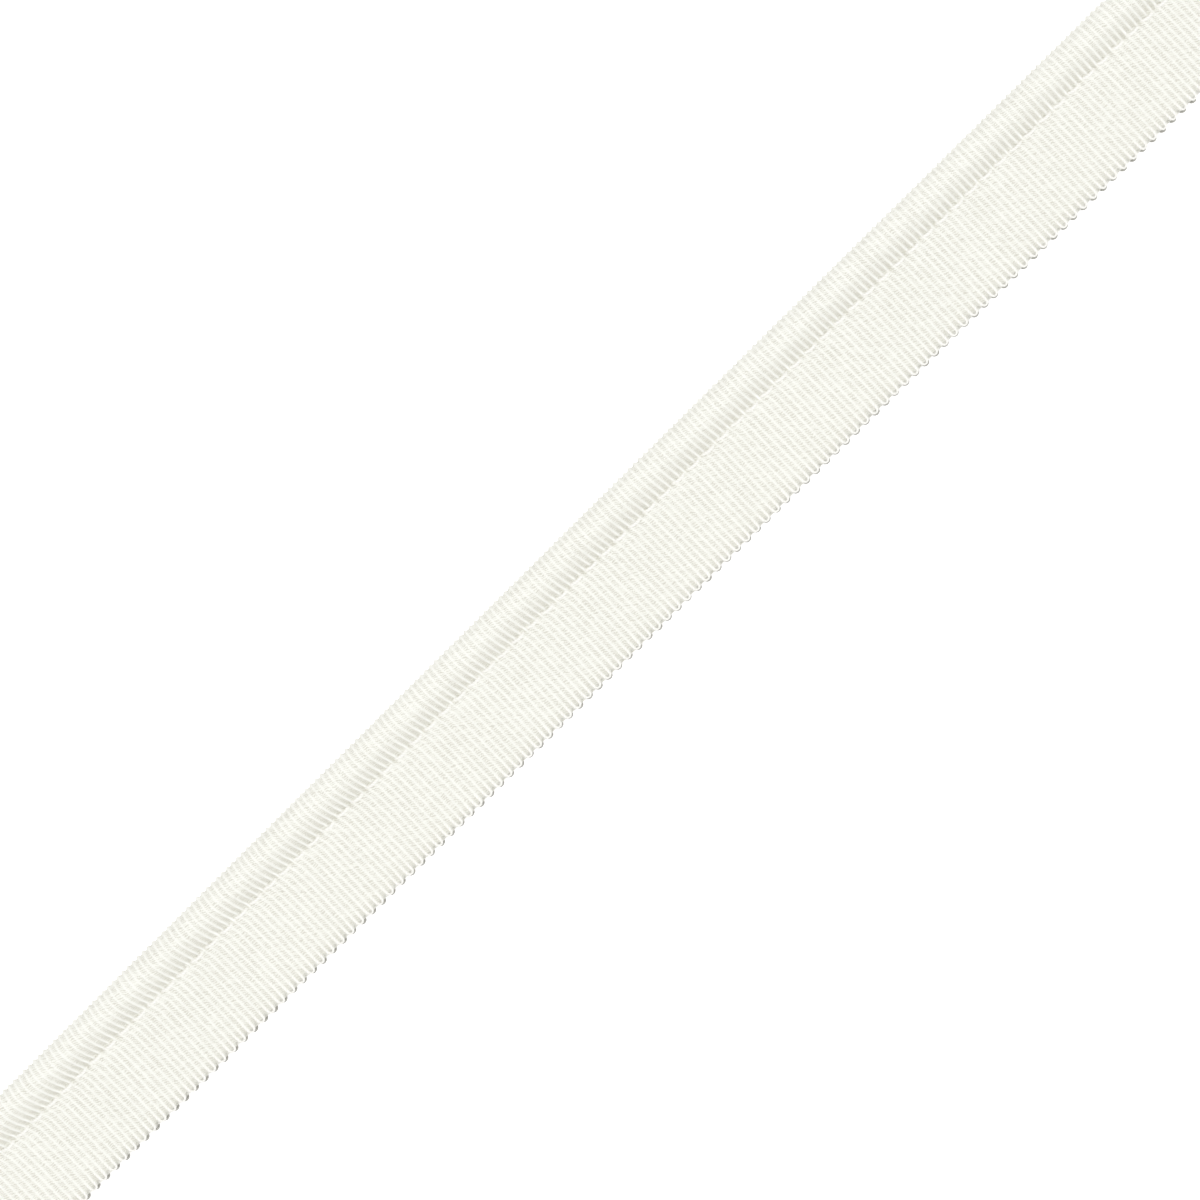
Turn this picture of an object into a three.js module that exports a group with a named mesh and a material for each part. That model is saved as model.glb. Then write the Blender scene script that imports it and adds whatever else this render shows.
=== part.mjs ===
// A straight cut length of corded piping. One woven, cross-ribbed tape is folded lengthwise round a filler
// cord and sewn close beside it, so that its two halves lie on each other as a flange with looped selvedges.
// Millimetres, +Z up. X runs along the trim, the cord is on the +Y side, and the underside rests on Z = 0.
// The origin is at the middle of the trim in X and Y, on the surface that it lies on.
import * as THREE from "three";

// Driving dimensions
const ribCount = 264; // weft ribs that cross the tape; each selvedge loop joins two of them
const ribPitch = 10 / 11;
const ribRise = 0.25; // crest of a rib over the valley beside it
const loopDepth = 0.45; // tip of a selvedge loop over the notch beside it
const trimWidth = 17.8; // cord's outer side to the tips of the loops
const cordRadius = 2.4; // filler cord with the tape round it
const cordFlat = 1.2; // width of the flat that the cord rests on
const seamInset = 5.0; // cord's outer side to the row of stitches
const seamThickness = 1.4; // both layers, as the stitches squeeze them
const layerThickness = 1.0; // one layer of the tape at a crest
const layerGap = 0.3; // between the flange's two layers
const gapInset = 0.8; // stitches to where the layers part
const flatWidth = 6.4; // part of the flange that lies level on the surface
const rimWidth = 0.5; // thinned rim of a selvedge

// Worked out from them
const stationsPerRib = 2; // a valley and a crest
const stationsPerLoop = 2 * stationsPerRib;
const stations = ribCount * stationsPerRib;
const plainStep = 4 * stationsPerLoop; // a row without ribs or loops needs fewer points
const trimLength = ribCount * ribPitch;
const cordY = trimWidth / 2 - cordRadius;
const cordZ = Math.sqrt(cordRadius ** 2 - (cordFlat / 2) ** 2);
const seamY = trimWidth / 2 - seamInset;
const seamZ = cordZ - 0.15;
const bendY = flatWidth - trimWidth / 2;
const flangeTop = 2 * layerThickness + layerGap;

// A row of points along the trim, by its place in the section. Ribs is the direction that they stand up in.
function row(y, z, { ribs = null, loops = false } = {}) {
  return { place: new THREE.Vector2(y, z), ribs, loops };
}

// A row round the cord, by its degrees above the outermost point
function cordRow(degrees, ribbed) {
  const angle = THREE.MathUtils.degToRad(degrees);
  const out = new THREE.Vector2(Math.cos(angle), Math.sin(angle));
  const place = out.clone().multiplyScalar(cordRadius);
  return row(cordY + place.x, cordZ + place.y, { ribs: ribbed ? out : null });
}

// The section's outline, anticlockwise seen from +X, from the lower selvedge round the cord to the upper one
// and back along the gap between the layers
function sectionRows() {
  const up = new THREE.Vector2(0, 1);
  const selvedge = -trimWidth / 2;
  const mouthY = seamY - gapInset;
  const mouthZ = seamZ - 0.1;
  return [
    row(selvedge, layerThickness / 2, { loops: true }),
    row(selvedge + rimWidth, 0),
    row(bendY, 0),
    row(seamY, seamZ - seamThickness / 2),
    cordRow(-135, false),
    row(cordY - cordFlat / 2, 0),
    row(cordY + cordFlat / 2, 0),
    cordRow(-45, false),
    cordRow(0, true),
    cordRow(45, true),
    cordRow(90, true),
    cordRow(135, true),
    row(seamY, seamZ + seamThickness / 2, { ribs: up }),
    row(bendY, flangeTop, { ribs: up }),
    row(selvedge, flangeTop, { ribs: up, loops: true }),
    row(selvedge + rimWidth, layerThickness + layerGap),
    row(bendY, layerThickness + layerGap),
    row(mouthY, mouthZ + layerGap / 2),
    row(mouthY, mouthZ - layerGap / 2),
    row(bendY, layerThickness),
    row(selvedge + rimWidth, layerThickness),
  ];
}

// A row's points from one cut end to the other, sunk between the ribs and drawn in between the loops
function rowPoints({ place, ribs, loops }) {
  const points = [];
  const step = ribs || loops ? 1 : plainStep;
  for (let station = 0; station <= stations; station += step) {
    const point = new THREE.Vector3((station / stations - 0.5) * trimLength, place.x, place.y);
    const isValley = station % stationsPerRib === 0;
    if (ribs && isValley) point.add(new THREE.Vector3(0, -ribs.x, -ribs.y).multiplyScalar(ribRise));
    const reach = Math.sqrt(Math.abs(Math.sin((Math.PI * station) / stationsPerLoop)));
    if (loops) point.y += loopDepth * (1 - reach);
    points.push(point);
  }
  return points;
}

// Triangles between two neighbouring rows, stepping along whichever row is behind
function stripFaces(a, b) {
  const faces = [];
  const stepMiddle = (points, i) => (i + 1 < points.length ? (points[i].x + points[i + 1].x) / 2 : Infinity);
  let i = 0;
  let j = 0;
  while (i + 1 < a.points.length || j + 1 < b.points.length) {
    if (stepMiddle(a.points, i) <= stepMiddle(b.points, j)) {
      faces.push([a.first + i, b.first + j, a.first + i + 1]);
      i += 1;
    } else {
      faces.push([a.first + i, b.first + j, b.first + j + 1]);
      j += 1;
    }
  }
  return faces;
}

// The flat cut through every row at one end of the trim
function endFaces(rows, isFarEnd) {
  const last = (r) => (isFarEnd ? r.points.length - 1 : 0);
  const outline = rows.map((r) => new THREE.Vector2(r.points[last(r)].y, r.points[last(r)].z));
  const faces = THREE.ShapeUtils.triangulateShape(outline, []);
  return faces.map((face) => {
    const corners = face.map((k) => rows[k].first + last(rows[k]));
    return isFarEnd ? corners : corners.reverse();
  });
}

function tapeGeometry() {
  let count = 0;
  const rows = sectionRows().map((r) => {
    const points = rowPoints(r);
    count += points.length;
    return { points, first: count - points.length };
  });
  const faces = rows.flatMap((r, k) => stripFaces(r, rows[(k + 1) % rows.length]));
  faces.push(...endFaces(rows, false), ...endFaces(rows, true));
  const geometry = new THREE.BufferGeometry().setFromPoints(rows.flatMap((r) => r.points));
  geometry.setIndex(faces.flat());
  geometry.computeVertexNormals();
  return geometry;
}

const ivoryWeave = new THREE.MeshStandardMaterial({ color: 0xf4f3ea, roughness: 0.75, metalness: 0 });
const tape = new THREE.Mesh(tapeGeometry(), ivoryWeave);
tape.name = "tape";

const trim = new THREE.Group();
trim.add(tape);

export default trim;
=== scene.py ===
# A straight cut length of corded piping, lying on a pale floor and seen from straight above.
# The sizes in the dictionaries are millimetres, and the meshes are metres.
import math
import random

import bmesh
import bpy
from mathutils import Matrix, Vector, noise


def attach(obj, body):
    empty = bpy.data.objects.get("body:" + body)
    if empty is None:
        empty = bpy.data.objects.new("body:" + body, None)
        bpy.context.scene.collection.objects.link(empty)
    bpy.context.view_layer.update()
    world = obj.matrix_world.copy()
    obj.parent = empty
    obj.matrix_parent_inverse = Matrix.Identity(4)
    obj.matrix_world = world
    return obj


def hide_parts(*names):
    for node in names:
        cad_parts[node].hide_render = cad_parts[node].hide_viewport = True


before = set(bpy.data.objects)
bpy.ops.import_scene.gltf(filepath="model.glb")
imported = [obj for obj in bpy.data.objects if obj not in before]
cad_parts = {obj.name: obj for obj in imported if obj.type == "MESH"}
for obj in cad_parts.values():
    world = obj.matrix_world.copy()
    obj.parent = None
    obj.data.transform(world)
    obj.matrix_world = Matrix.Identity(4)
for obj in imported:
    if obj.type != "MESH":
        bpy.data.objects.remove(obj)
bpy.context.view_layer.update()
mm = 0.001
sameSpot = 1e-7  # points as near as this, in metres, are one
random.seed(7)

# Sizes that several pieces share: the tape's ribs, its fold round the cord and its two flange layers
trim = {
    "length": 240.0,
    "ribs": 264,
    "halfWidth": 8.9,  # middle of the trim to the cord's outer side, and to the tips of the loops
    "cordRadius": 2.4,
    "cordFlat": 1.2,  # width of the flat that the cord rests on
    "layer": 1.0,  # one layer of tape at a crest
    "gap": 0.3,  # between the two layers
    "bendY": -2.5,  # the flange lies level from here to its selvedges
    "stitchY": 3.1,  # line of the stitches
    "creaseY": 3.42,  # foot of the cord, where the tape turns up
    "leanDrift": 0.0045,  # the ribs' lean changes by this share a millimetre along the trim
    "leanBack": -1.0,  # lean of the ribs on the lower layer
    "bow": 2.0e-5,  # the trim lies in a very slight curve: this times the square of X
}
ribPitch = trim["length"] / trim["ribs"]
flangeTop = 2 * trim["layer"] + trim["gap"]
cordY = trim["halfWidth"] - trim["cordRadius"]
cordZ = math.sqrt(trim["cordRadius"] ** 2 - (trim["cordFlat"] / 2) ** 2)


def smooth(low, high, value):
    t = min(1.0, max(0.0, (value - low) / (high - low)))
    return t * t * (3 - 2 * t)


def wander(along, row, scale):
    # slow, seeded unevenness from -1 to 1, along the trim and from row to row
    rowStep, seedPlane = 3.7, 11.3
    return noise.noise(Vector((along / scale, row * rowStep, seedPlane)))


def finishMesh(bm, name, materials, shadeSmooth=True):
    mesh = bpy.data.meshes.new(name)
    bm.to_mesh(mesh)
    bm.free()
    piece = bpy.data.objects.new(name, mesh)
    bpy.context.scene.collection.objects.link(piece)
    for material in materials:
        mesh.materials.append(material)
    for face in mesh.polygons:
        face.use_smooth = shadeSmooth
    return piece


# Colours and nodes
def linear(hexColour):
    # sRGB hex to Blender's linear colour
    channels = [int(hexColour[i:i + 2], 16) / 255 for i in (1, 3, 5)]
    return tuple(c / 12.92 if c <= 0.04045 else ((c + 0.055) / 1.055) ** 2.4 for c in channels) + (1.0,)


def addNode(tree, kind, settings=None, inputs=None):
    # an input is a plain value, another node's output, or another node, which means its first output
    node = tree.nodes.new(kind)
    for key, value in (settings or {}).items():
        setattr(node, key, value)
    for key, value in (inputs or {}).items():
        if isinstance(value, bpy.types.Node):
            value = value.outputs[0]
        if isinstance(value, bpy.types.NodeSocket):
            tree.links.new(value, node.inputs[key])
        else:
            node.inputs[key].default_value = value
    return node


def newMaterial(name):
    material = bpy.data.materials.new(name)
    material.use_nodes = True
    tree = material.node_tree
    return material, tree, tree.nodes["Principled BSDF"]


weave = {
    "crestPower": 6.0,  # a crest's painted highlight is about a third of a rib wide
    "crestLift": 0.9,  # the painted crest highlight is stronger where the painted shade beside it is deeper
    "fadedHighlight": 0.8,  # what is left of a crest's painted highlight where it fades
    "fadeFrom": 0.3,  # faded where the slow noise is below this
    "fadeTo": 0.6,  # and whole above this
    "wobbleScale": 0.9,
    "wobbleShift": 2.4,  # slow unevenness moves the threads by up to this many pitches
    "warpPitch": 0.33,  # real warp threads are 0.28 apart, too fine to show, so they are drawn coarser
    "warpSlant": 1.26,  # they climb this many pitches from one crest to the next
    "warpHeight": 0.022,
    "warpDark": 2.6,  # painted shade of the deepest marks between threads
    "markFrom": 1.1,  # a mark is full where the threads and the fuzz together are as low as this
    "markTo": 2.6,  # and gone where they reach this
    "leastMark": 0.3,  # the faintest mark's share of that shade
    "markSpread": 0.8,  # and how much more the deepest has
    "fuzzScale": 6.0,
    "fuzzShare": 3.4,  # against 1 for the threads
    # painted highlight along each crest
    "crest": "#f7f7f1",
    "open": "#f5f5ed",  # between the crests, where the light reaches in
    "paintedHollowShade": "#dbd9ce",  # painted shade where the tape falls deep between them, or a mark is darkest
    "roughness": 0.72,
    "sheen": 0.15,
}


def wovenYarn():
    # Ivory viscose over a thick weft: a soft matt yarn with a slight sheen, and a painted highlight along
    # each crest
    w = weave
    material, tree, shader = newMaterial("ivoryRibWeave")
    place = addNode(tree, "ShaderNodeUVMap", {"uv_map": "weave"})
    split = addNode(tree, "ShaderNodeSeparateXYZ", inputs={0: place})
    rib, across = split.outputs[0], split.outputs[1]

    # a painted highlight: a bright line along each crest, fainter here and there
    turn = addNode(tree, "ShaderNodeMath", {"operation": "MULTIPLY"}, {0: rib, 1: math.pi})
    wave = addNode(tree, "ShaderNodeMath", {"operation": "SINE"}, {0: turn})
    ridge = addNode(tree, "ShaderNodeMath", {"operation": "ABSOLUTE"}, {0: wave})
    line = addNode(tree, "ShaderNodeMath", {"operation": "POWER"}, {0: ridge, 1: w["crestPower"]})
    wobble = addNode(tree, "ShaderNodeTexNoise", {"noise_dimensions": "2D"}, {
        "Vector": place, "Scale": w["wobbleScale"], "Detail": 3.0, "Roughness": 0.6})
    highlightFade = addNode(tree, "ShaderNodeMapRange", inputs={
        "Value": wobble, "From Min": w["fadeFrom"], "From Max": w["fadeTo"],
        "To Min": w["fadedHighlight"], "To Max": 1.0})
    crest = addNode(tree, "ShaderNodeMath", {"operation": "MULTIPLY"}, {0: line, 1: highlightFade})

    # warp threads cross each rib at a slant, all the same way, and never quite evenly; painted shade marks
    # the gaps between them
    fromCrest = addNode(tree, "ShaderNodeMath", {"operation": "ADD"}, {0: rib, 1: 0.5})
    band = addNode(tree, "ShaderNodeMath", {"operation": "FRACT"}, {0: fromCrest})
    number = addNode(tree, "ShaderNodeMath", {"operation": "FLOOR"}, {0: fromCrest})
    uneven = addNode(tree, "ShaderNodeTexWhiteNoise", {"noise_dimensions": "1D"}, {"W": number})
    climb = addNode(tree, "ShaderNodeMath", {"operation": "MULTIPLY_ADD"}, {
        0: across, 1: 1 / w["warpPitch"], 2: uneven})
    slanted = addNode(tree, "ShaderNodeMath", {"operation": "MULTIPLY_ADD"}, {
        0: band, 1: w["warpSlant"], 2: climb})
    threads = addNode(tree, "ShaderNodeMath", {"operation": "MULTIPLY_ADD"}, {
        0: wobble, 1: w["wobbleShift"], 2: slanted})
    threadTurn = addNode(tree, "ShaderNodeMath", {"operation": "MULTIPLY"}, {0: threads, 1: 2 * math.pi})
    threadWave = addNode(tree, "ShaderNodeMath", {"operation": "SINE"}, {0: threadTurn})
    thread = addNode(tree, "ShaderNodeMapRange", inputs={
        "Value": threadWave, "From Min": -1.0, "From Max": 1.0})

    # loose fibres and uneven tension blur the marks between the threads
    fuzz = addNode(tree, "ShaderNodeTexNoise", {"noise_dimensions": "2D"}, {
        "Vector": place, "Scale": w["fuzzScale"], "Detail": 3.0, "Roughness": 0.75})
    tone = addNode(tree, "ShaderNodeMath", {"operation": "MULTIPLY_ADD"}, {
        0: fuzz, 1: w["fuzzShare"], 2: thread})
    threadDark = addNode(tree, "ShaderNodeMapRange", inputs={
        "Value": tone, "From Min": w["markFrom"], "From Max": w["markTo"],
        "To Min": w["warpDark"], "To Max": 0.0})

    # and each thread lies higher or lower than its neighbours, so that some marks are fainter;
    # the count changes on a thread's brightest line, a quarter turn on, where there is no mark
    fromThread = addNode(tree, "ShaderNodeMath", {"operation": "SUBTRACT"}, {0: threads, 1: 0.25})
    threadNumber = addNode(tree, "ShaderNodeMath", {"operation": "FLOOR"}, {0: fromThread})
    crossing = addNode(tree, "ShaderNodeCombineXYZ", inputs={0: number, 1: threadNumber})
    chance = addNode(tree, "ShaderNodeTexWhiteNoise", {"noise_dimensions": "2D"}, {"Vector": crossing})
    share = addNode(tree, "ShaderNodeMath", {"operation": "MULTIPLY_ADD"}, {
        0: chance, 1: w["markSpread"], 2: w["leastMark"]})
    mark = addNode(tree, "ShaderNodeMath", {"operation": "MULTIPLY"}, {0: threadDark, 1: share})

    # how much painted shade (below zero, painted light) lies between the crests is stored on the mesh
    shade = addNode(tree, "ShaderNodeAttribute", {"attribute_name": "paintedHollowShade"})
    darker = addNode(tree, "ShaderNodeMath", {"operation": "ADD"}, {0: shade.outputs["Fac"], 1: mark})
    deep = addNode(tree, "ShaderNodeMath", {"operation": "MINIMUM"}, {0: darker, 1: 1.0})
    bandColour = addNode(tree, "ShaderNodeMix", {"data_type": "RGBA", "clamp_factor": False}, {
        "Factor": deep, "A": linear(w["open"]), "B": linear(w["paintedHollowShade"])})
    # the painted crest highlight is lifted where the painted shade is deeper
    lift = addNode(tree, "ShaderNodeMath", {"operation": "MULTIPLY_ADD"}, {
        0: shade.outputs["Fac"], 1: w["crestLift"], 2: 1.0})
    lit = addNode(tree, "ShaderNodeMath", {"operation": "MULTIPLY"}, {0: crest, 1: lift})
    colour = addNode(tree, "ShaderNodeMix", {"data_type": "RGBA", "clamp_factor": False}, {
        "Factor": lit, "A": bandColour.outputs["Result"], "B": linear(w["crest"])})
    tree.links.new(colour.outputs["Result"], shader.inputs["Base Color"])

    # the relief of the threads fades out on the crests, where they lie smooth
    beside = addNode(tree, "ShaderNodeMath", {"operation": "SUBTRACT"}, {0: 1.0, 1: crest})
    relief = addNode(tree, "ShaderNodeMath", {"operation": "MULTIPLY"}, {0: tone, 1: beside})
    height = addNode(tree, "ShaderNodeBump", inputs={
        "Strength": 1.0, "Distance": w["warpHeight"] * mm, "Height": relief})
    tree.links.new(height.outputs[0], shader.inputs["Normal"])
    shader.inputs["Roughness"].default_value = w["roughness"]
    shader.inputs["Sheen Weight"].default_value = w["sheen"]
    return material


fibres = {
    "pitch": 0.22,  # between two fibre bundles
    "height": 0.1,
    "pale": "#f8f6ee",
    "dark": "#dedacb",
    "roughness": 0.85,
}


def cutFibres():
    # Cut across the tape and its filler cord: short broken fibre ends, matt and a little darker
    material, tree, shader = newMaterial("cutFibreEnds")
    place = addNode(tree, "ShaderNodeTexCoord")
    ends = addNode(tree, "ShaderNodeTexVoronoi", inputs={
        "Vector": place.outputs["Object"], "Scale": 1 / (fibres["pitch"] * mm)})
    colour = addNode(tree, "ShaderNodeMix", {"data_type": "RGBA"}, {
        "Factor": ends.outputs["Distance"], "A": linear(fibres["pale"]), "B": linear(fibres["dark"])})
    tree.links.new(colour.outputs["Result"], shader.inputs["Base Color"])
    height = addNode(tree, "ShaderNodeBump", inputs={
        "Strength": 1.0, "Distance": fibres["height"] * mm, "Height": ends.outputs["Distance"]})
    tree.links.new(height.outputs[0], shader.inputs["Normal"])
    shader.inputs["Roughness"].default_value = fibres["roughness"]
    return material


strand = {
    "plyHeight": 0.03,
    "underSide": 0.87,  # where round the strand its underside is, as a share of a full turn
    "underFrom": 0.1,  # cosine of the angle from there where the painted shade begins
    "underTo": 0.8,  # and where it is full
    # painted shade on the strand's underside
    "paintedUnderShade": "#a9a8a2",
    "sheen": 0.15,
}


def twistedYarn(name, palest, darkest, twistPitch, roughness, underShadeStrength):
    # Spun thread: two plies twisted together, seen as slanted bands round the strand,
    # and painted shade on its underside where it turns under
    material, tree, shader = newMaterial(name)
    place = addNode(tree, "ShaderNodeUVMap", {"uv_map": "strand"})
    split = addNode(tree, "ShaderNodeSeparateXYZ", inputs={0: place})
    around = split.outputs[1]
    along = addNode(tree, "ShaderNodeMath", {"operation": "MULTIPLY_ADD"}, {
        0: split.outputs[0], 1: 1 / twistPitch, 2: around})
    turn = addNode(tree, "ShaderNodeMath", {"operation": "MULTIPLY"}, {0: along, 1: 2 * math.pi})
    wave = addNode(tree, "ShaderNodeMath", {"operation": "SINE"}, {0: turn})
    ply = addNode(tree, "ShaderNodeMath", {"operation": "ABSOLUTE"}, {0: wave})
    colour = addNode(tree, "ShaderNodeMix", {"data_type": "RGBA"}, {
        "Factor": ply, "A": linear(darkest), "B": linear(palest)})
    side = addNode(tree, "ShaderNodeMath", {"operation": "SUBTRACT"}, {0: around, 1: strand["underSide"]})
    sideTurn = addNode(tree, "ShaderNodeMath", {"operation": "MULTIPLY"}, {0: side, 1: 2 * math.pi})
    sideWave = addNode(tree, "ShaderNodeMath", {"operation": "COSINE"}, {0: sideTurn})
    paintedUnderShade = addNode(tree, "ShaderNodeMapRange", {"interpolation_type": "SMOOTHSTEP"}, {
        "Value": sideWave, "From Min": strand["underFrom"], "From Max": strand["underTo"],
        "To Min": 0.0, "To Max": underShadeStrength})
    shaded = addNode(tree, "ShaderNodeMix", {"data_type": "RGBA"}, {
        "Factor": paintedUnderShade, "A": colour.outputs["Result"], "B": linear(strand["paintedUnderShade"])})
    tree.links.new(shaded.outputs["Result"], shader.inputs["Base Color"])
    height = addNode(tree, "ShaderNodeBump", inputs={
        "Strength": 1.0, "Distance": strand["plyHeight"] * mm, "Height": ply})
    tree.links.new(height.outputs[0], shader.inputs["Normal"])
    shader.inputs["Roughness"].default_value = roughness
    shader.inputs["Sheen Weight"].default_value = strand["sheen"]
    return material


# The tape: woven flat, folded round the cord, its two halves lying on each other as the flange
tape = {
    "stepsPerRib": 6,
    "spareRibs": 3,  # woven past each end, and cut off
    "crestPower": 2.1,  # above 1 narrows the crests
    "selvedgeInset": 0.24,  # loops' tips to the last warp thread
    "lowerInset": 0.15,  # the lower layer shows between the upper one's loops
    "notch": 0.26,  # the cloth draws in between two loops
    "notchReach": 1.3,
    # round the cord, from the flange over the top to the underside:
    # degrees, lean of the ribs, depth between two ribs, and painted shade there (below zero, painted light)
    "arc": (
        (133, -0.51, 0.25, 0.11), (122, -0.57, 0.22, 0.04), (111, -0.62, 0.17, -0.06),
        (99, -0.65, 0.13, -0.14), (86, -0.65, 0.10, -0.16), (73, -0.64, 0.10, -0.16),
        (60, -0.60, 0.14, -0.12), (47, -0.57, 0.19, 0.0), (34, -0.56, 0.24, -0.14),
        (20, -0.56, 0.26, -0.26), (4, -0.56, 0.30, 0.05), (-14, -0.56, 0.28, 0.34),
        (-34, -0.57, 0.26, 0.34), (-56, -0.58, 0.24, 0.34), (-80, -0.60, 0.20, 0.34),
        (-105, -0.62, 0.20, 0.34), (-131, -0.66, 0.28, 0.50)),
    "straightOver": 2.5,  # stretches between two keys that are longer than this stay straight
    "depthWander": 0.18,  # share by which the depth changes from rib to rib
    "depthJump": 5.1,  # step through the unevenness from one rib to the next
    "depthReach": 9,  # larger is steadier across the tape, as are the next two reaches
    "ribWander": 0.05,  # the ribs stray from their even places
    "quickJump": 2.3,  # from one rib to the next
    "quickReach": 12,
    "slowLength": 9.0,  # and over this many ribs
    "slowReach": 40,
    "stitchPitch": 2.68,
    "holeAt": 0.83,  # one needle hole's place along the trim
    "holeY": 3.34,
    "holeDepth": 0.26,
    "holeReach": 0.34,
    # painted shade round each needle hole
    "holeShade": 0.6,
    "threadGroove": 0.08,
    "grooveReach": 0.2,
    "pullReach": 1.2,  # nothing further than this past the foot of the cord is pulled in
    "pullFacing": 0.3,  # only faces turned up or down as much as this are
    "pullSkin": 0.6,  # and only those this near the outside
}


def foldKeys():
    # The section's outline at crest level: y, z, columns to the next key, lean of the ribs along the trim,
    # how deep the tape falls between two ribs, and how much painted shade it has there
    upper = -trim["halfWidth"] + tape["selvedgeInset"]
    lower = -trim["halfWidth"] + tape["lowerInset"]
    bend, stitch, crease = trim["bendY"], trim["stitchY"], trim["creaseY"]
    layer, top, back = trim["layer"], flangeTop, trim["leanBack"]
    inside = layer + trim["gap"]
    keys = [
        (upper + 0.25, inside + 0.02, 1, -0.08, 0.10, 0.4),
        (upper + 0.02, inside + 0.25, 1, -0.08, 0.20, 0.4),
        (upper, top - 0.38, 1, -0.08, 0.28, 0.4),
        (upper + 0.1, top - 0.14, 1, -0.08, 0.10, 0.12),
        (upper + 0.5, top - 0.02, 1, -0.06, 0.15, 0.36),
        (upper + 1.05, top, 1, -0.06, 0.20, 0.36),
        (upper + 1.5, top, 2, -0.04, 0.20, 0.0),
        (bend, top, 2, 0.0, 0.19, -0.05),
        (0.2, top + 0.06, 2, 0.0, 0.19, 0.0),
        (2.0, top + 0.18, 1, -0.02, 0.16, -0.08),
        (2.7, top + 0.32, 1, -0.16, 0.12, -0.22),
        (stitch, top + 0.33, 1, -0.22, 0.12, -0.1),
        (stitch + 0.2, top + 0.34, 1, -0.24, 0.20, 0.0),
        (crease, top + 0.43, 1, -0.26, 0.31, 0.20),
        (crease + 0.24, top + 0.66, 1, -0.30, 0.31, 0.45),
        (crease + 0.56, top + 1.01, 1, -0.37, 0.29, 0.42),
        (crease + 0.95, top + 1.40, 1, -0.45, 0.26, 0.24),
    ]
    for degrees, lean, depth, shade in tape["arc"]:
        angle = math.radians(degrees)
        y = cordY + trim["cordRadius"] * math.cos(angle)
        keys.append((y, max(0.0, cordZ + trim["cordRadius"] * math.sin(angle)), 1, lean, depth, shade))
    keys += [
        (crease + 0.5, 1.22, 1, -0.74, 0.40, 0.8),
        (stitch - 0.2, 1.34, 1, -0.84, 0.16, 0.3),
        (1.8, 1.02, 2, -0.95, 0.25, 0.34),
        (bend + 1.2, 0.16, 1, back, 0.27, 0.34),
        (bend - 0.6, 0.0, 3, back, 0.27, 0.34),
        (lower + 0.8, 0.0, 1, back, 0.38, 0.7),
        (lower + 0.28, 0.06, 1, back, 0.30, 0.3),
        (lower, 0.38, 1, back, 0.10, 0.3),
        (lower + 0.02, layer - 0.25, 1, back, 0.10, 0.3),
        (lower + 0.25, layer - 0.02, 1, back, 0.10, 0.0),
        (lower + 1.0, layer, 1, back, 0.15, 0.0),
        (bend, layer, 1, back, 0.10, 0.6),
        (2.9, 1.85, 1, -0.8, 0.05, 0.6),
        (3.0, 1.97, 1, -0.5, 0.05, 0.6),
        (2.9, 2.10, 1, -0.3, 0.05, 0.6),
        (bend, inside, 1, 0.0, 0.10, 0.6),
        (upper + 1.0, inside, 1, -0.08, 0.15, 0.6),
    ]
    return keys


def foldColumns():
    # A smooth closed curve through the keys, as one dictionary for each column
    keys = foldKeys()
    columns = []
    for i, (_, _, count, *here) in enumerate(keys):
        a, b, c, d = (Vector(keys[(i + k) % len(keys)][:2]) for k in (-1, 0, 1, 2))
        after = keys[(i + 1) % len(keys)][3:]
        for step in range(count):
            f = step / count
            place = 0.5 * (2 * b + (c - a) * f + (2 * a - 5 * b + 4 * c - d) * f * f
                           + (3 * b - a - 3 * c + d) * f ** 3)
            if (c - b).length > tape["straightOver"]:
                place = b.lerp(c, f)
            lean, depth, shade = (low + (high - low) * f for low, high in zip(here, after))
            columns.append({"place": place, "lean": lean, "depth": depth, "shade": shade})
    across = 0.0
    for i, column in enumerate(columns):
        ahead = columns[(i + 1) % len(columns)]["place"]
        along = ahead - columns[i - 1]["place"]
        column["outward"] = Vector((-along.y, along.x)).normalized()
        column["across"] = column["row"] = across
        across += (ahead - column["place"]).length
    # the last column meets the first one again, so it keeps that one's row
    columns.append(dict(columns[0], across=across))
    return columns


def needleHole(x, y):
    # 1 at a needle hole, falling to 0 round it
    t = tape
    nearest = round((x - t["holeAt"]) / t["stitchPitch"]) * t["stitchPitch"] + t["holeAt"]
    return math.exp(-((x - nearest) ** 2 + (y - t["holeY"]) ** 2) / t["holeReach"] ** 2)


def pulledDown(x, y):
    # how deep the lockstitches pull the tape in, at their needle holes and under the thread
    groove = math.exp(-((y - trim["stitchY"]) / tape["grooveReach"]) ** 2)
    return tape["holeDepth"] * needleHole(x, y) + tape["threadGroove"] * groove


def ribPlace(rib, row):
    # where a rib lies along the trim, a little uneven as woven
    t = tape
    quick = wander(rib * t["quickJump"], row / t["quickReach"], 1.0)
    slow = wander(rib, row / t["slowReach"], t["slowLength"])
    return (rib / trim["ribs"] - 0.5) * trim["length"] + t["ribWander"] * (quick + 2 * slow)


def cutSquare(bm):
    for side in (-1, 1):
        bmesh.ops.bisect_plane(
            bm, geom=bm.verts[:] + bm.edges[:] + bm.faces[:], dist=sameSpot,
            plane_co=(side * trim["length"] / 2 * mm, 0, 0), plane_no=(side, 0, 0), clear_outer=True)


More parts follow.
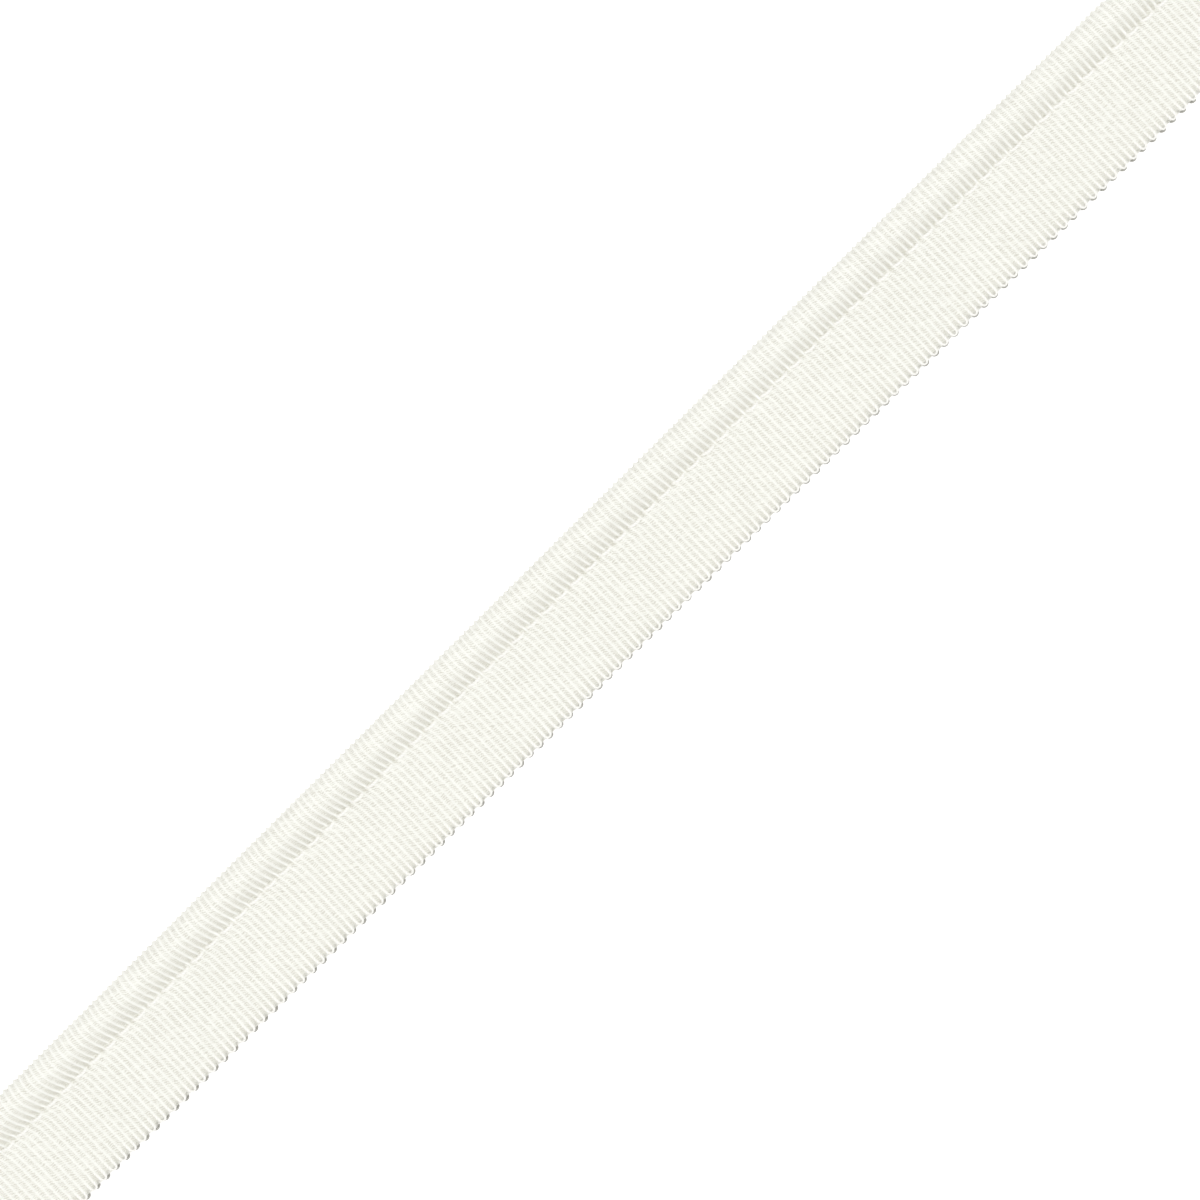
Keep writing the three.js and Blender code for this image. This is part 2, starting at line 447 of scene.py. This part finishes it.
def tapePoint(rib, column):
    t = tape
    y, z = column["place"]
    outward = column["outward"]
    isUpper = z > trim["layer"] + trim["gap"] / 2
    edge = -trim["halfWidth"] + t["selvedgeInset" if isUpper else "lowerInset"]
    crest = (0.5 - 0.5 * math.cos(2 * math.pi * rib)) ** t["crestPower"]
    uneven = wander(math.floor(rib) * t["depthJump"], column["row"] / t["depthReach"], 1.0)
    sink = column["depth"] * (1 - crest) * (1 + t["depthWander"] * uneven)
    x = ribPlace(rib, column["row"])
    x += column["lean"] * (1 - trim["leanDrift"] * x)
    y -= sink * outward.x
    z -= sink * outward.y
    # the weft draws the cloth in between two loops
    nearEdge = 1 - smooth(0.0, t["notchReach"], y - edge)
    y += nearEdge * t["notch"] * isUpper * (1 - math.sqrt(abs(math.sin(math.pi * rib / 2))))
    if y < trim["creaseY"] + t["pullReach"]:
        if outward.y > t["pullFacing"] and z > flangeTop - t["pullSkin"]:
            z -= pulledDown(x, y)
        elif outward.y < -t["pullFacing"] and z < cordZ - t["pullSkin"]:
            z += pulledDown(x, y)
    y -= trim["bow"] * x * x
    return Vector((x, y, z)) * mm


def weaveTape():
    t = tape
    columns = foldColumns()
    ribsWoven = trim["ribs"] + 2 * t["spareRibs"]
    bm = bmesh.new()
    uvLayer = bm.loops.layers.uv.new("weave")
    paintedHollowShade = bm.verts.layers.float.new("paintedHollowShade")
    bmesh.ops.create_grid(
        bm, x_segments=ribsWoven * t["stepsPerRib"], y_segments=len(columns) - 1, size=0.5)
    ribOf = {}
    columnOf = {}
    for vert in bm.verts:
        ribOf[vert] = (vert.co.x + 0.5) * ribsWoven - t["spareRibs"]
        columnOf[vert] = columns[round((vert.co.y + 0.5) * (len(columns) - 1))]
    for face in bm.faces:
        for loop in face.loops:
            loop[uvLayer].uv = (ribOf[loop.vert] + t["spareRibs"], columnOf[loop.vert]["across"])
    for vert in bm.verts:
        vert.co = tapePoint(ribOf[vert], columnOf[vert])
        inHole = needleHole(vert.co.x / mm, vert.co.y / mm)
        # painted shade: each column's own share, and more round each needle hole
        vert[paintedHollowShade] = columnOf[vert]["shade"] + t["holeShade"] * inHole
    rim = [v for v in bm.verts if v.is_boundary]
    bmesh.ops.remove_doubles(bm, verts=rim, dist=sameSpot)

    cutSquare(bm)
    caps = bmesh.ops.holes_fill(bm, edges=[e for e in bm.edges if e.is_boundary], sides=0)["faces"]
    for face in caps:
        face.material_index = 1
    bmesh.ops.triangulate(bm, faces=caps)
    bmesh.ops.recalc_face_normals(bm, faces=bm.faces[:])
    triangles = sum(len(f.verts) - 2 for f in bm.faces)
    openEdges = sum(not e.is_manifold for e in bm.edges)
    print("tape", triangles, "triangles,", len(columns) - 1, "columns,", openEdges, "open edges")
    return finishMesh(bm, "wovenTape", [wovenYarn(), cutFibres()])


def addStrand(bm, path, radius, sides, reference):
    # a grid, one row of it to each place on the path, rolled into a tube
    uvLayer = bm.loops.layers.uv.get("strand") or bm.loops.layers.uv.new("strand")
    rows = len(path) - 1
    verts = bmesh.ops.create_grid(bm, x_segments=rows, y_segments=sides, size=0.5)["verts"]
    runs = [0.0]
    for here, ahead in zip(path, path[1:]):
        runs.append(runs[-1] + (ahead - here).length)
    rolled = {}
    for vert in verts:
        row = round((vert.co.x + 0.5) * rows)
        around = round((vert.co.y + 0.5) * sides) / sides
        heading = (path[min(row + 1, rows)] - path[max(row - 1, 0)]).normalized()
        outward = heading.cross(reference).normalized()
        angle = 2 * math.pi * around
        place = path[row] + radius * (math.cos(angle) * outward + math.sin(angle) * outward.cross(heading))
        rolled[vert] = (place * mm, (runs[row], around))
    for face in {f for v in verts for f in v.link_faces}:
        for loop in face.loops:
            loop[uvLayer].uv = rolled[loop.vert][1]
    for vert in verts:
        vert.co = rolled[vert][0]
    bmesh.ops.remove_doubles(bm, verts=verts, dist=sameSpot)


def closeStrands(bm, name, material):
    # cut square at both ends of the trim, close every open end, and turn all faces outward
    cutSquare(bm)
    bmesh.ops.holes_fill(bm, edges=[e for e in bm.edges if e.is_boundary], sides=0)
    bmesh.ops.recalc_face_normals(bm, faces=bm.faces[:])
    print(name, len(bm.faces), "faces")
    return finishMesh(bm, name, [material])


# Selvedge loops: the weft turns back on itself past the last warp thread, once for every two ribs
loops = {
    "radius": 0.17,
    "halfTurn": 0.41,  # half the turn's width, to the yarn's middle
    "turnDepth": 0.34,  # how far the turn reaches out past the legs
    "turnStart": 0.18,  # depth of the yarn's middle below the tape's face, where the turn begins
    "turnDrop": 0.3,  # the turn bends down over the edge
    "turnSteps": 8,
    "kneeReach": 0.12,  # the knee joins leg and turn
    "kneeDepth": 0.14,
    "leg": 1.5,  # how far in from the turn the yarn still shows on its crest
    "legKeys": ((1.0, 0.34), (0.66, 0.15), (0.33, 0.11)),  # share of the leg, and depth there
    "sides": 8,
    "tipWander": 0.06,
    "wander": 0.04,
}
# "row" picks the row of the tape's unevenness that a layer's loops share with its ribs
upperLayer = {"reach": 0.0, "lean": -0.08, "row": 1.0, "faceZ": flangeTop, "inward": -1}
# the lower layer's loops show past the upper ones as a thin rim, grey with painted shade
lowerLayer = {"reach": 0.18, "lean": 0.02, "row": 38.0, "faceZ": 0.0, "inward": 1}


def loopPath(rib, layer):
    # one loop, from the crest before the valley at this rib to the crest after it
    tip = -trim["halfWidth"] - layer["reach"] - loops["tipWander"] * random.random()
    turnY = tip + loops["radius"] + loops["turnDepth"]
    x = ribPlace(rib, layer["row"])
    x += layer["lean"] * (1 - trim["leanDrift"] * x)
    half = ribPitch / 2
    knee = (half + loops["halfTurn"]) / 2
    path = []
    for side in (-1, 1):
        leg = [(side * half, turnY + loops["leg"] * share, depth) for share, depth in loops["legKeys"]]
        leg.append((side * knee, turnY + loops["kneeReach"], loops["kneeDepth"]))
        if side == 1:
            for step in range(loops["turnSteps"] + 1):
                angle = math.pi * (1 - step / loops["turnSteps"])
                path.append((
                    loops["halfTurn"] * math.cos(angle), turnY - loops["turnDepth"] * math.sin(angle),
                    loops["turnStart"] + loops["turnDrop"] * math.sin(angle) ** 2))
            leg.reverse()
        path += leg
    drift = loops["wander"] * (2 * random.random() - 1)
    return [
        Vector((x + px + drift, py - trim["bow"] * x * x, layer["faceZ"] + layer["inward"] * depth))
        for px, py, depth in path]


def makeLoops(name, layer, yarn):
    bm = bmesh.new()
    for pair in range(-1, trim["ribs"] // 2 + 2):
        addStrand(bm, loopPath(2 * pair + 1, layer), loops["radius"], loops["sides"], Vector((0, 0, 1)))
    return closeStrands(bm, name, yarn)


# Lockstitches: each bar of the top thread bows towards the flange, and dives into a needle hole at both ends
stitches = {
    "radius": 0.23,
    "underRadius": 0.16,
    "sides": 8,
    "topZ": 2.53,
    "underZ": 1.26,
    # share of the stitch, place off the line of stitches, and drop into the cloth
    "bar": (
        (0.02, 0.28, 0.80), (0.06, 0.25, 0.50), (0.12, 0.19, 0.22), (0.2, 0.11, 0.05),
        (0.3, 0.01, -0.03), (0.43, -0.04, -0.05), (0.56, -0.04, -0.04), (0.68, 0.0, 0.04),
        (0.77, 0.06, 0.22), (0.84, 0.12, 0.50), (0.89, 0.16, 0.80)),
    "start": 0.03,  # share of a stitch from the hole's middle
    "underY": 0.12,  # the under thread lies straighter, and this far off the line
    "sideWander": 0.04,
    "heightWander": 0.03,
}


def stitchPath(hole, isTop):
    s = stitches
    start = tape["holeAt"] + hole * tape["stitchPitch"]
    shift = Vector((
        0, s["sideWander"] * (2 * random.random() - 1), s["heightWander"] * (2 * random.random() - 1)))
    path = []
    for share, off, drop in s["bar"]:
        x = start + (share + s["start"]) * tape["stitchPitch"]
        y = trim["stitchY"] + (off if isTop else s["underY"] - off / 2)
        z = s["topZ"] - drop if isTop else s["underZ"] + drop
        path.append(Vector((x, y - trim["bow"] * x * x, z)) + shift)
    return path


def sewStitches(thread):
    bm = bmesh.new()
    count = round(trim["length"] / tape["stitchPitch"] / 2) + 1
    for hole in range(-count, count):
        for isTop in (True, False):
            radius = stitches["radius"] if isTop else stitches["underRadius"]
            addStrand(bm, stitchPath(hole, isTop), radius, stitches["sides"], Vector((0, 1, 0)))
    return closeStrands(bm, "lockstitches", thread)


# Floor, camera and light come first, so that every render shows the same view
view = {
    "sensor": 36.0,
    "frameWidth": 156.4,  # what the 1200 px wide frame spans at the flange
    "distance": 600.0,
    "nearest": 10.0,
    "roll": -44.76,
    "centre": (-0.21, -0.78),
}


def setCamera():
    camera = bpy.data.cameras.new("viewCamera")
    camera.sensor_width = view["sensor"]
    camera.lens = view["sensor"] * view["distance"] / view["frameWidth"]
    camera.clip_start = view["nearest"] * mm
    holder = bpy.data.objects.new("viewCamera", camera)
    holder.location = [c * mm for c in (*view["centre"], view["distance"] + flangeTop)]
    holder.rotation_euler = (0, 0, math.radians(view["roll"]))
    bpy.context.scene.collection.objects.link(holder)
    bpy.context.scene.camera = holder


light = {
    "sky": 1.03,
    "keyPower": 0.8,
    "keySize": 500.0,
    "keyPlace": (-40.0, 25.0, 780.0),
    "floor": "#f6f6f6",
    "floorRoughness": 0.9,
    "floorGlow": 0.5,  # the ground is burnt out to white round the trim, as in the photograph
    "floorSize": 3000.0,
    "floorDrop": 0.02,  # so that it never shares a plane with the trim's underside
}


def setLight():
    world = bpy.data.worlds.new("studioRoom")
    world.use_nodes = True
    sky = world.node_tree.nodes["Background"]
    sky.inputs["Color"].default_value = (1, 1, 1, 1)
    sky.inputs["Strength"].default_value = light["sky"]
    bpy.context.scene.world = world
    key = bpy.data.lights.new("softbox", "AREA")
    key.energy = light["keyPower"]
    key.size = light["keySize"] * mm
    holder = bpy.data.objects.new("softbox", key)
    holder.location = Vector(light["keyPlace"]) * mm
    holder.rotation_euler = (-holder.location).to_track_quat("-Z", "Y").to_euler()
    bpy.context.scene.collection.objects.link(holder)
    bpy.context.scene.view_settings.view_transform = "Standard"


def layFloor():
    # Matt white paper, so evenly lit that it has no texture
    bm = bmesh.new()
    bmesh.ops.create_grid(bm, x_segments=1, y_segments=1, size=light["floorSize"] * mm)
    material, tree, shader = newMaterial("paleFloor")
    shader.inputs["Base Color"].default_value = linear(light["floor"])
    shader.inputs["Roughness"].default_value = light["floorRoughness"]
    shader.inputs["Emission Color"].default_value = (1, 1, 1, 1)
    seen = addNode(tree, "ShaderNodeLightPath")
    glow = addNode(tree, "ShaderNodeMath", {"operation": "MULTIPLY"}, {
        0: seen.outputs["Is Camera Ray"], 1: light["floorGlow"]})
    tree.links.new(glow.outputs[0], shader.inputs["Emission Strength"])
    floor = finishMesh(bm, "floor", [material], False)
    floor.location.z = -light["floorDrop"] * mm


setCamera()
setLight()
layFloor()
print("camera, light and floor")

tapePiece = weaveTape()
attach(tapePiece, "root")
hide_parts("tape")

# The tape's own weft, spun and matt, with painted shade on the underside of its turns
upperYarn = twistedYarn(
    "ivoryWeftYarn", palest="#fbfaf5", darkest="#f1f0e9", twistPitch=0.9, roughness=0.7, underShadeStrength=0.75)
# The same weft with painted shade all over, grey as if in the shadow of the upper layer
lowerYarn = twistedYarn(
    "shadedWeftYarn", palest="#bcbbb4", darkest="#adaca5", twistPitch=0.9, roughness=0.7, underShadeStrength=0.6)
# Polyester thread: whiter than the cloth, with a slight gloss
thread = twistedYarn(
    "whiteSewingThread", palest="#faf9f4", darkest="#efeee8", twistPitch=0.7, roughness=0.5, underShadeStrength=0.0)
for piece in (
        makeLoops("upperLoops", upperLayer, upperYarn), makeLoops("lowerLoops", lowerLayer, lowerYarn),
        sewStitches(thread)):
    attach(piece, "root")
